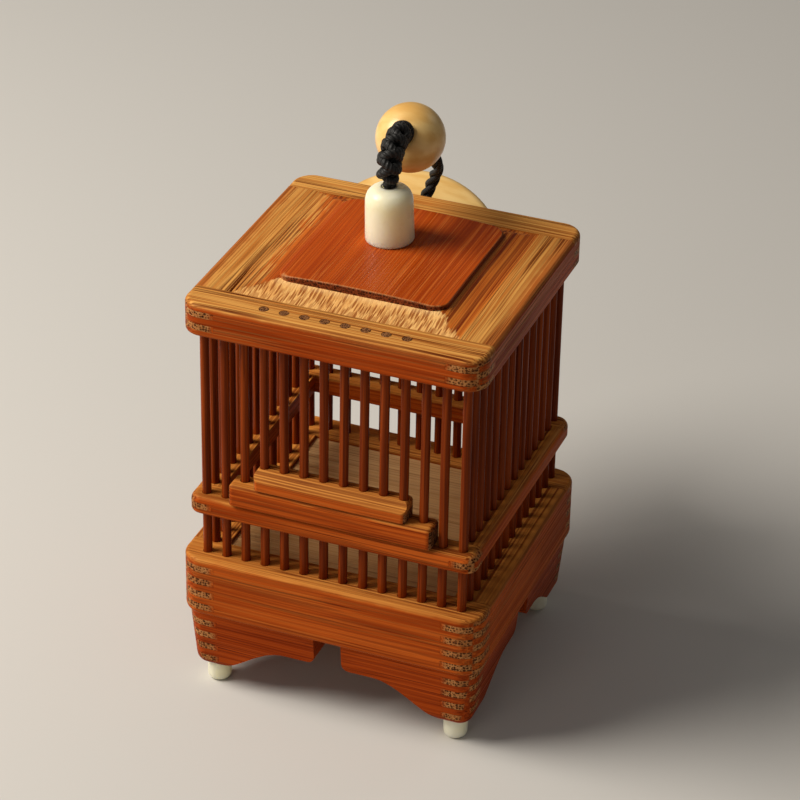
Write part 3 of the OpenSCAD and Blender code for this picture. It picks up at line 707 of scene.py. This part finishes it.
def smoothRoute(points, step):
    # Cubic curve through the points, with half the way between a point's neighbours as its slope there,
    # and about one sample every step
    p = np.array(points, float)
    spans = np.linalg.norm(np.diff(p, axis=0), axis=1)
    counts = np.maximum(1, np.round(spans / step)).astype(int)
    first = np.repeat(np.arange(len(spans)), counts)
    t = np.concatenate([np.arange(c) / c for c in counts])[:, None]
    ends = np.concatenate([[2 * p[0] - p[1]], p, [2 * p[-1] - p[-2]]])
    a, b, c, d = (ends[first + k] for k in range(4))
    square, cube = 2 * a - 5 * b + 4 * c - d, 3 * b - a - 3 * c + d
    curve = 0.5 * (2 * b + (c - a) * t + square * t**2 + cube * t**3)
    return np.concatenate([curve, p[-1:]])


def alongRoute(route):
    return np.concatenate([[0], np.cumsum(np.linalg.norm(np.diff(route, axis=0), axis=1))])


def framesAlong(route):
    # Tangent and two square directions at each point of a route that keeps clear of the X axis
    tangent = unit(np.gradient(route, axis=0))
    first = unit(np.cross(tangent, (1.0, 0.0, 0.0)))
    return tangent, first, np.cross(tangent, first)


def turnedPiece(name, node, profile, gear, place, axis, material, closed=False):
    # A profile turned about an axis through place, both in mm: place + axis h + r (a cos t + b sin t),
    # where r is the profile's radius times 1 + wobble (sin(2 t + 0.6) + sin(3 t) / 2). gear has the
    # sides and the wobble for this kind of node.
    kind = node.split("_")[0]
    wobble = gear[kind + "Wobble"]
    radii, heights = np.array(profile) * mm
    axis = unit(axis)
    a = unit(np.cross(axis, (1.0, 0.0, 0.0)))
    b = np.cross(axis, a)
    t = np.linspace(0, 2 * math.pi, gear[kind + "Sides"], endpoint=False)
    r = radii[:, None] * (1 + wobble * np.sin(2 * t + 0.6) + 0.5 * wobble * np.sin(3 * t))
    ring = np.cos(t)[:, None] * a + np.sin(t)[:, None] * b
    points = np.array(place) * mm + axis * heights[:, None, None] + r[..., None] * ring
    piece = surfacePiece(name, points[None], material, "cage", closed=closed)
    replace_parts(piece, node)
    return piece


def arcProfile(corners, steps=10):
    # Polyline whose corner k is rounded with its own radius: (r, h, rounding)
    pts = np.array([c[:2] for c in corners], float)
    s = np.linspace(0, 1, steps)[:, None]
    out = [pts[:1]]
    for k in range(1, len(corners) - 1):
        size = corners[k][2]
        start = pts[k] + unit(pts[k - 1] - pts[k]) * size
        end = pts[k] + unit(pts[k + 1] - pts[k]) * size
        out.append((1 - s) ** 2 * start + 2 * s * (1 - s) * pts[k] + s**2 * end)
    out.append(pts[-1:])
    return np.concatenate(out).T


# Hanging cord, its knots and what is threaded on it

hangingGear = {
    "cordThickness": 2.2,  # mm, as all lengths here
    "cordDepth": 4.0,  # in the finial
    "cordRise": 0.1,  # of the neck's first point above the finial
    "routeStep": 0.5,
    "neckStep": 0.1,
    "strands": 3,
    "strandRadius": 0.58,
    "strandOffset": 0.56,
    "strandSides": 12,
    "twistLength": 9.0,
    "cordThreads": (2, 190),  # round a strand and along it
    "knotRadius": 1.68,  # middle of a knot's loop
    "knotStrand": 0.8,
    "knotTilt": 37.0,  # degrees
    "knotPoints": (40, 14),  # round the loop and round its strand
    "knotThreads": (3, 18),
    "knotSpare": 0.3,  # share of the pitch left free at the end of a route
    # pitch, start, and sizes by the place along the route
    "neckKnots": (1.12, 0.8, ((0, 0.1, 0.2, 0.35, 0.6, 1), (0.5, 0.62, 1.0, 1.07, 1, 0.88))),
    "endKnots": (1.0, 0.6, ((0, 1), (1, 1))),
    "endReach": (0.3, 3.4),  # of the stop knot behind the toggle's face
    "endPoints": 30,
    "boreRadius": 1.25,
    "beadRadius": 6.2,
    "beadFlat": 5.7,  # from the middle to a hole
    "beadLip": (1.25, 0.94),  # widening of the bore at its mouths, and the share of beadFlat where it starts
    "beadAxis": (-0.1, 0.95, -0.6),
    "beadSteps": 60,
    "beadSides": 72,
    "beadWobble": 0.004,
    "toggleRadius": 20.0,
    "toggleThickness": 14.0,
    "toggleRim": 2.2,
    "toggleMouth": 1.3,
    "toggleLip": 0.25,
    "toggleLean": 47.0,  # degrees
    "toggleInset": 0.2,  # from the full thickness to where the cord enters
    "toggleSteps": (40, 24),  # on a face and round the rim
    "toggleSides": 96,
    "toggleWobble": 0.003,
}
finialLow, finialHigh = (np.array(c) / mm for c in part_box("finial"))
finialMiddle = (finialLow + finialHigh) / 2
beadMiddle = np.mean(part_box("bead"), axis=0) / mm
toggleMiddle = np.mean(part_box("toggle"), axis=0) / mm
beadAxis = unit(hangingGear["beadAxis"])
toggleLean = math.radians(hangingGear["toggleLean"])
toggleAxis = np.array([0.0, math.cos(toggleLean), -math.sin(toggleLean)])
toggleFace = hangingGear["toggleThickness"] / 2 - hangingGear["toggleInset"]

lidLevel = np.array([0, 0, lidTop / mm])
finialTip = np.array([*finialMiddle[:2], finialHigh[2] + hangingGear["cordRise"]])
finialRoute = [finialTip - (0, 0, hangingGear["cordDepth"]), finialTip]
knottedRoute = lidLevel + [
    (-1.5, 4.5, 13.2), (-1.6, 4.5, 15), (-1.6, 4.8, 16.8),
    (-1.6, 5.8, 18.3), (-1.6, 7.2, 19.3), (-1.7, 9.2, 19.8),
]
beadRoute = [beadMiddle + beadAxis * h for h in (-6.6, -5.8, -5.7, 0, 5.7)]
hangingRoute = lidLevel + [
    (-2.2, 23.6, 11.2), (-1.4, 25.6, 8.6), (-1.2, 27.6, 5.6), (-2.4, 29.3, 2.4), (-3.8, 30.4, -0.9),
    (-5, 31, -4), (-6.5, 31.7, -7), (-8.3, 32.5, -10), (-10.3, 33.5, -12.9), (-12.2, 34.8, -16),
]
toggleRoute = [toggleMiddle + toggleAxis * h for h in (-toggleFace - 1, -toggleFace, 0, toggleFace)]
cordPoints = [*finialRoute, *knottedRoute, *beadRoute, *hangingRoute, *toggleRoute]
cordRoute = smoothRoute(cordPoints, hangingGear["routeStep"])
neckRoute = smoothRoute([finialTip, *knottedRoute, *beadRoute[:2]], hangingGear["neckStep"])
endRoute = np.linspace(
    *(toggleMiddle + toggleAxis * (toggleFace + h) for h in hangingGear["endReach"]), hangingGear["endPoints"]
)


def cordStrands(gear):
    # Round strands that twist slowly about the route: route + offset (a cos w + b sin w) + tube
    tangent, a, b = framesAlong(cordRoute)
    twist = 2 * math.pi * alongRoute(cordRoute) / gear["twistLength"]
    turn = twist[None] + np.linspace(0, 2 * math.pi, gear["strands"], endpoint=False)[:, None]
    middle = cordRoute + gear["strandOffset"] * (np.cos(turn)[..., None] * a + np.sin(turn)[..., None] * b)
    t = np.linspace(0, 2 * math.pi, gear["strandSides"], endpoint=False)
    tube = np.cos(t)[:, None] * a[:, None] + np.sin(t)[:, None] * b[:, None]
    return (middle[:, :, None] + gear["strandRadius"] * tube[None]) * mm


def loopKnots(route, gear, pitch, start, growth):
    # Rings of cord round a route, tilted to one side and the other in turn:
    # middle + grow ((R + s cos v) (a cos u + b sin u) + s sin v a x b)
    distance = alongRoute(route)
    places = np.arange(start, distance[-1] - gear["knotSpare"] * pitch, pitch)
    middle, tangent, a, b = (
        np.stack([np.interp(places, distance, track[:, k]) for k in range(3)], -1)
        for track in (route, *framesAlong(route))
    )
    sign = np.where(np.arange(len(places)) % 2, 1.0, -1.0)[:, None]
    tilt = math.radians(gear["knotTilt"])
    b = b * math.cos(tilt) + sign * tangent * math.sin(tilt)
    normal = np.cross(a, b)
    u, v = (np.linspace(0, 2 * math.pi, n, endpoint=False) for n in gear["knotPoints"])
    radial = np.cos(u)[None, :, None] * a[:, None] + np.sin(u)[None, :, None] * b[:, None]
    grow = np.interp(places / distance[-1], *growth)[:, None, None]
    out = grow * (gear["knotRadius"] + gear["knotStrand"] * np.cos(v))
    rise = grow * gear["knotStrand"] * np.sin(v)
    ring = radial[:, :, None] * out[..., None] + normal[:, None, None] * rise[..., None]
    return (middle[:, None, None] + ring) * mm


def beadProfile(gear):
    # Sphere cut flat at its two holes, then back down the bore
    reach = math.asin(gear["beadFlat"] / gear["beadRadius"])
    angle = np.linspace(-1, 1, gear["beadSteps"]) * reach
    wide, deep = gear["beadLip"]
    bore = gear["boreRadius"] * np.array([wide, 1, 1, 1, wide])
    back = gear["beadFlat"] * np.array([1, deep, 0, -deep, -1])
    radii = np.concatenate([gear["beadRadius"] * np.cos(angle), bore])
    return radii, np.concatenate([gear["beadRadius"] * np.sin(angle), back])


def toggleProfile(gear):
    # Two wide arcs that run into a round rim, with a bore through the middle
    rim, rise = gear["toggleRim"], gear["toggleThickness"] / 2
    reach = gear["toggleRadius"] - rim
    arc = (reach**2 + rise**2 - rim**2) / (2 * (rise - rim))
    turn = math.asin(reach / (arc - rim))
    faceSteps, rimSteps = gear["toggleSteps"]
    face = np.linspace(math.asin(gear["toggleMouth"] / arc), turn, faceSteps)
    faceR, faceH = arc * np.sin(face), arc * np.cos(face) - (arc - rise)
    bend = np.linspace(turn - math.pi / 2, math.pi / 2 - turn, rimSteps)[1:-1]
    boreEnd = rise - gear["toggleLip"]
    bore = gear["boreRadius"] * np.ones(3)
    radii = np.concatenate([faceR, reach + rim * np.cos(bend), faceR[::-1], bore])
    return radii, np.concatenate([-faceH, rim * np.sin(bend), faceH[::-1], [boreEnd, 0, -boreEnd]])


def knotPiece(name, route, knots):
    points = loopKnots(route, hangingGear, *knots)
    threads = hangingGear["knotThreads"]
    return surfacePiece(name, points, cordFinish, "cage", closed=True, repeat=threads)


beadPiece = turnedPiece(
    "boxwoodBead", "bead", beadProfile(hangingGear), hangingGear,
    beadMiddle, beadAxis, boxwoodFinish, closed=True,
)
togglePiece = turnedPiece(
    "boxwoodToggle", "toggle", toggleProfile(hangingGear), hangingGear,
    toggleMiddle, toggleAxis, boxwoodFinish, closed=True,
)
cordPiece = surfacePiece(
    "hangingCord", cordStrands(hangingGear), cordFinish, "cage", repeat=hangingGear["cordThreads"]
)
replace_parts(cordPiece, "cord")
neckKnots = knotPiece("neckKnots", neckRoute, hangingGear["neckKnots"])
endKnot = knotPiece("endKnot", endRoute, hangingGear["endKnots"])
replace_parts(endKnot, "stop_knot")

# Bone finial and feet

boneTurnings = {
    "finialRadius": 4.35,  # mm
    "finialTopRadius": 4.2,
    "finialShoulder": 3.0,
    "finialEdge": 0.55,
    "finialShift": 0.15,  # of its foot to the right of its middle
    "finialLean": -0.03,  # to the right for each mm up
    "finialSunk": 0.05,  # into the crown of the panel
    "finialSides": 72,
    "finialWobble": 0.004,
    "boreLip": 0.25,
    "boreEnd": 0.1,
    "footRounding": 1.2,
    "footTopEdge": 0.15,
    "footSides": 40,
    "footWobble": 0.008,
    "pole": 0.05,  # radius at which a profile ends near its axis
}


def poledProfile(corners, pole):
    # A rounded profile that starts and ends near its axis
    return arcProfile([(pole, corners[0][1], 0), *corners, (pole, corners[-1][1], 0)])


def makeBonePieces(gear):
    # The finial goes from its foot up a slight taper, over the shoulder and down into the cord hole
    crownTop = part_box("lid_panel")[1][2] / mm
    tall, bore = finialHigh[2] - crownTop, hangingGear["boreRadius"]
    corners = [
        (gear["finialRadius"], 0, gear["finialEdge"]),
        (gear["finialTopRadius"], tall, gear["finialShoulder"]),
        (bore, tall, gear["boreLip"]),
        (bore, tall - hangingGear["cordDepth"], gear["boreEnd"]),
    ]
    profile = poledProfile(corners, gear["pole"])
    place = (finialMiddle[0] + gear["finialShift"], finialMiddle[1], crownTop - gear["finialSunk"])
    axis = (gear["finialLean"], 0, 1)
    turnedPiece("boneFinial", "finial", profile, gear, place, axis, boneFinish)
    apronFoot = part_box("apron_front_left")[0][2] / mm
    for node in [n for n in nodes if n.startswith("foot_")]:
        low, high = (np.array(c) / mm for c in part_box(node))
        radius = (high[0] - low[0]) / 2
        corners = [(radius, 0, gear["footRounding"]), (radius, apronFoot, gear["footTopEdge"])]
        profile = poledProfile(corners, gear["pole"])
        place = (*(low + high)[:2] / 2, 0)
        turnedPiece("bone_" + node, node, profile, gear, place, (0, 0, 1), boneFinish)


makeBonePieces(boneTurnings)
print("bone pieces made")

# Bamboo bars, shaved by hand: nearly round, with faint flats and a faint bow

barShaving = {
    "perSide": 14,  # corner posts included
    "jamb": 3,  # fixed bars on each side of the door, corner post included
    "sides": 16,
    "rings": 26,
    "flats": 3,
    "flat": 0.035,  # share of the radius that the flats take
    "waves": 9,  # radians of waver along a bar
    "waver": 0.02,
    "bow": 0.05,  # mm
    "seed": 11,
}
chance = np.random.default_rng(barShaving["seed"])


def shavedRods(places, low, high, radius, bow):
    # radius (1 - flat (1 + cos(flats t + p)) / 2 - waver (1 + sin(waves z + q + t)) / 2) about an axis
    # that bows by bow sin(pi z) to one side and bow sin(2 pi z) to the other, each times its own chance
    z = np.linspace(0, 1, barShaving["rings"])[None, :, None]
    t = np.linspace(0, 2 * math.pi, barShaving["sides"], endpoint=False)[None, None]
    phase = chance.uniform(0, 2 * math.pi, (4, len(places), 1, 1))
    flats = barShaving["flat"] * (0.5 + 0.5 * np.cos(barShaving["flats"] * t + phase[0]))
    waves = barShaving["waver"] * (0.5 + 0.5 * np.sin(barShaving["waves"] * z + phase[1] + t))
    r = radius * (1 - flats - waves)
    lean = bow * np.sin(math.pi * z) * np.sin(phase[2])
    sway = bow * np.sin(2 * math.pi * z) * np.sin(phase[3])
    xy = np.array(places)[..., None, None]
    x = xy[:, 0] + lean + r * np.cos(t)
    y = xy[:, 1] + sway + r * np.sin(t)
    return np.stack([x, y, np.broadcast_to(low + (high - low) * z, x.shape)], -1) * mm


postLow, postHigh = (np.array(c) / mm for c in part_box("corner_post_front_right"))
barRadius = (postHigh[0] - postLow[0]) / 2
cornerX, cornerY = postHigh[0] - barRadius, -postLow[1] - barRadius
barX, barY = (np.linspace(-end, end, barShaving["perSide"]) for end in (cornerX, cornerY))
jamb = barShaving["jamb"]
barRows = {
    "front_bars_left": [(x, -cornerY) for x in barX[1:jamb]],
    "front_bars_right": [(x, -cornerY) for x in barX[-2:-1 - jamb:-1]],
    "front_bars_lower": [(x, -cornerY) for x in barX[jamb:-jamb]],
    "door_bars": [(x, -cornerY) for x in barX[jamb:-jamb]],
    "left_bars": [(-cornerX, y) for y in barY[1:-1]],
    "right_bars": [(cornerX, y) for y in barY[1:-1]],
    "back_bars": [(x, cornerY) for x in barX[1:-1]],
}
barRows |= {
    f"corner_post_{end}_{side}": [(sx * cornerX, sy * cornerY)]
    for sx, side in ((-1, "left"), (1, "right"))
    for sy, end in ((-1, "front"), (1, "back"))
}
for node, places in barRows.items():
    low, high = (c[2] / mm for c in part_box(node))
    body, finish, bow = "cage", barFinish, barShaving["bow"]
    if node == "door_bars":
        body, finish, bow = "door", doorBarFinish, 0.0  # straight, because they slide
    points = shavedRods(places, low, high, barRadius, bow)
    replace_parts(surfacePiece("shaved_" + node, points, finish, body), node)
print("bars shaved")

# Lid panel: a crowned field on sloping margins

lidPanel = {
    "marginLow": (6.0, 5.6),  # mm, left and front
    "marginHigh": (4.9, 3.0),  # right and back
    "edgeDrop": (0.02, 0.15, 0.15),  # panel edge below the rails: left, right, and front and back
    "edgeFit": (0.03, -0.04),  # panel edge past the rails' inner faces
    "rightGap": 0.08,
    "shrinkage": 0.5,  # joint that has opened at the front of the left side
    "shrinkageRun": 0.24,  # share of the side that it takes
    "footRise": 0.8,  # foot of the field above the rails
    "crown": 1.4,
    "crownRadius": 220.0,
    "cornerRadius": 3.0,
    "edgeRounding": 0.35,
    "rollWidth": 1.7,  # of the step on the left
    "rollHeight": 0.85,  # share of that step
    "hollow": 1.7,  # how hollow the margin is, where 1 is straight
    "facingBlend": 1.2,  # how sharply front and side margins meet at a corner
    "stepFade": 4,  # how late the rounded edge turns from step to field
    "sidePoints": 60,
    "cornerPoints": 15,
    "marginRings": 12,
    "stepRings": (0.06, 0.4, 0.7, 1.0),
    "edgeRings": 9,
    "fieldRings": 40,
    "innermost": 0.002,  # size of the last ring
    "sharpAngle": 0.7,  # radians
}


def fieldLoop(low, high, edge, gear):
    # Rounded rectangle run anticlockwise from its front right corner, as quarter arcs and straight
    # sides. Each point has its outward direction and the point of the panel's square edge that it is
    # drawn from.
    radius = gear["cornerRadius"]
    signs = np.array([(1, -1), (1, 1), (-1, 1), (-1, -1)])
    middle = np.where(signs > 0, high, low) - radius * signs
    turn = math.pi / 2 * (np.arange(4)[:, None] - 1 + np.linspace(0, 1, gear["cornerPoints"]))
    outward = np.stack([np.cos(turn), np.sin(turn)], -1)
    arc = middle[:, None] + radius * outward
    square = (edge * signs)[:, None]
    before = np.where(np.abs(outward[:, :1]) > 0.5, square, arc[:, :1])
    after = np.where(np.abs(outward[:, -1:]) > 0.5, square, arc[:, -1:])
    half = np.linspace(0, 2, gear["cornerPoints"])[None, :, None]
    rim = np.where(half < 1, before + (square - before) * half, square + (after - square) * (half - 1))
    s = np.linspace(0, 1, gear["sidePoints"] + 2)[1:-1][None, :, None]

    def withSides(points):
        side = points[:, -1:] + (np.roll(points[:, :1], -1, 0) - points[:, -1:]) * s
        return np.concatenate([points, side], 1).reshape(-1, 2)

    return withSides(arc), withSides(outward), withSides(rim)


def panelRings(half, bottom, top, gear):
    # Rings from the panel's underside up its edge, over the hollow margin, up the step, round it and
    # in to the middle. On the left the step is rolled over, wide and low.
    low, high = np.array(gear["marginLow"]) - half, half - gear["marginHigh"]
    loop, outward, rim = fieldLoop(low, high, half, gear)
    rim[:, 0] = np.minimum(rim[:, 0], half[0] - gear["rightGap"])
    ahead = (rim[:, 1] + half[1]) / (2 * half[1] * gear["shrinkageRun"])
    rim[:, 0] = np.maximum(rim[:, 0], gear["shrinkage"] * np.clip(1 - ahead, 0, 1) ** 0.5 - half[0])
    facing = np.abs(outward[:, 1]) - np.abs(outward[:, 0])
    facing = np.clip(facing * gear["facingBlend"] + 0.5, 0, 1)
    rings, shares = [], []

    def marginHeight(xy):
        run = np.clip(np.minimum((xy + half) / gear["marginLow"], (half - xy) / gear["marginHigh"]), 0, 1)
        facingShare = run[:, 0] / (run.sum(-1) + 1e-9)
        sideDrop = np.where(xy[:, 0] < 0, *gear["edgeDrop"][:2])
        drop = sideDrop + (gear["edgeDrop"][2] - sideDrop) * facingShare
        return top - drop + (gear["footRise"] + drop) * run.min(-1) ** gear["hollow"]

    def crownHeight(xy):
        return top + gear["footRise"] + gear["crown"] - xy[:, 0] ** 2 / (2 * gear["crownRadius"])

    def addRing(xy, z, field, step, run):
        rings.append(np.column_stack([xy, np.broadcast_to(z, len(xy))]))
        shares.append([np.broadcast_to(v, len(xy)) for v in (field, step, facing, run)])

    rolled = np.clip(-outward[:, 0], 0, 1) ** 2
    foot = marginHeight(loop)
    rounding = gear["edgeRounding"]
    wide = rounding + (gear["rollWidth"] - rounding) * rolled
    tall = rounding + (gear["rollHeight"] * (crownHeight(loop) - foot) - rounding) * rolled
    addRing(rim, bottom, 0, 0, 0)
    for t in np.linspace(0, 1, gear["marginRings"]):
        xy = rim + (loop - rim) * t
        addRing(xy, marginHeight(xy), 0, 0, t)
    for t in gear["stepRings"]:
        addRing(loop, foot + (crownHeight(loop) - tall - foot) * t, rolled, 1 - rolled, 1)
    for a in np.linspace(0, math.pi / 2, gear["edgeRings"])[1:]:
        xy = loop - outward * (wide * (1 - math.cos(a)))[:, None]
        field = rolled + (1 - rolled) * math.sin(a) ** gear["stepFade"]
        addRing(xy, crownHeight(xy) - tall * (1 - math.sin(a)), field, 1 - field, 1)
    inner, centre = xy, (low + high) / 2
    for t in np.linspace(1, gear["innermost"], gear["fieldRings"])[1:]:
        xy = centre + (inner - centre) * t
        addRing(xy, crownHeight(xy), 1, 0, 1)
    values = np.array(shares).transpose(1, 0, 2).reshape(len(panelShares), -1)
    return np.stack(rings)[None], dict(zip(panelShares, values))


def makePanel(gear):
    railInside = np.array([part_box("lid_rail_left")[1][0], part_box("lid_rail_front")[1][1]]) / mm
    half = np.abs(railInside) + gear["edgeFit"]
    points, shares = panelRings(half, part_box("lid_panel")[0][2] / mm, lidTop / mm, gear)
    piece = surfacePiece("lidPanelBoard", points * mm, panelFinish, "cage")
    for name, share in shares.items():
        piece.data.attributes.new(name, "FLOAT", "POINT").data.foreach_set("value", share)
    piece.data.set_sharp_from_angle(angle=gear["sharpAngle"])
    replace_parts(piece, "lid_panel")


makePanel(lidPanel)
print("lid panel made")

# Pale floor, not part of the object

floorMesh = bpy.data.meshes.new("studioFloor")
floorCorners = studio["floorHalf"] * np.array([(-1, -1, 0), (1, -1, 0), (1, 1, 0), (-1, 1, 0)])
floorMesh.from_pydata(floorCorners.tolist(), [], [(0, 1, 2, 3)])
floorMesh.materials.append(studioFloorMaterial())
newObject("studioFloor", floorMesh)
